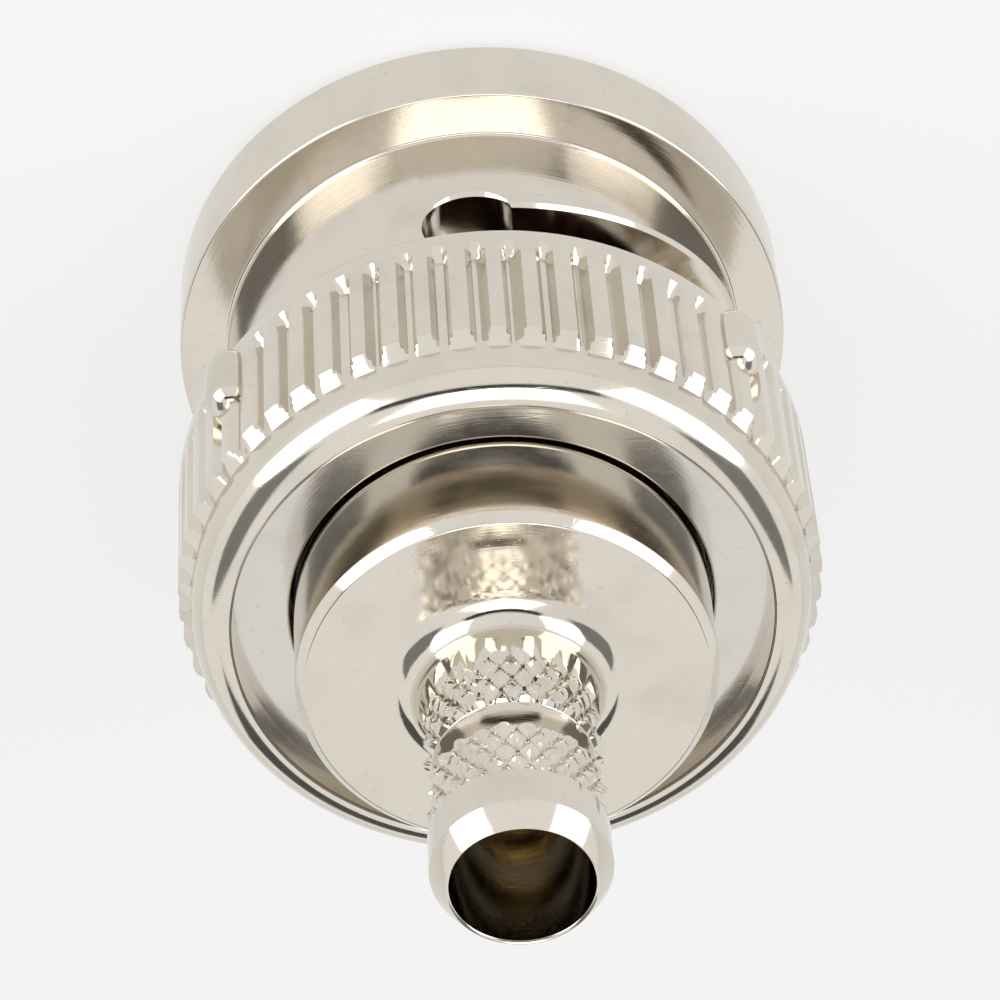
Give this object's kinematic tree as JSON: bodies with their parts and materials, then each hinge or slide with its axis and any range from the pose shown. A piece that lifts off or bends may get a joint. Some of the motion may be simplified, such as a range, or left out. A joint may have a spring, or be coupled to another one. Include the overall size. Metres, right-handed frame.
{
  "type": "bnc connector",
  "caption": "Bayonet coaxial cable plug with a knurled coupling nut and a crimp stem, shown before its cable is fitted.",
  "frame": {"origin": "centre of the coupling nut's front rim, which is the mating face that the plug stands on", "axes": "+Z along the plug's axis from the mating face to the crimp stem's tip; +Y and +X across it, with the entry grooves of the bayonet 3.6 degrees past +X and -X"},
  "size_m": [0.0144, 0.0144, 0.0217],
  "materials": {
    "nut_nickel": "bright nickel plate over brass, polished",
    "body_nickel": "bright nickel plate over turned brass",
    "contact_nickel": "nickel plate over spring bronze",
    "washer_nickel": "bright nickel plate over brass strip",
    "spring_steel": "plain spring steel strip",
    "silicone": "matt silicone rubber",
    "fluoropolymer": "white turned PTFE, waxy",
    "pin_gold": "thin gold plate over brass"
  },
  "bodies": {
    "plug": {"plug_body": "body_nickel", "outer_contact": "contact_nickel", "front_insulator": "fluoropolymer", "rear_insulator": "fluoropolymer", "centre_contact": "pin_gold", "gasket": "silicone", "wave_washer_front": "spring_steel", "wave_washer_rear": "spring_steel"},
    "washer": {"thrust_washer": "washer_nickel"},
    "nut": {"coupling_nut": "nut_nickel"}
  },
  "joints": [
    {"name": "nut_slide", "type": "slide", "parent": "plug", "child": "washer", "axis": [0, 0, -1], "range_m": [0, 0.0006], "stiffness_N_per_m": 20000, "springref_m": -0.0003, "deforming": ["wave_washer_front", "wave_washer_rear"]},
    {"name": "nut_spin", "type": "hinge", "parent": "washer", "child": "nut", "pos_m": [0, 0, 0.0123], "axis": [0, 0, 1], "continuous": true}
  ]
}
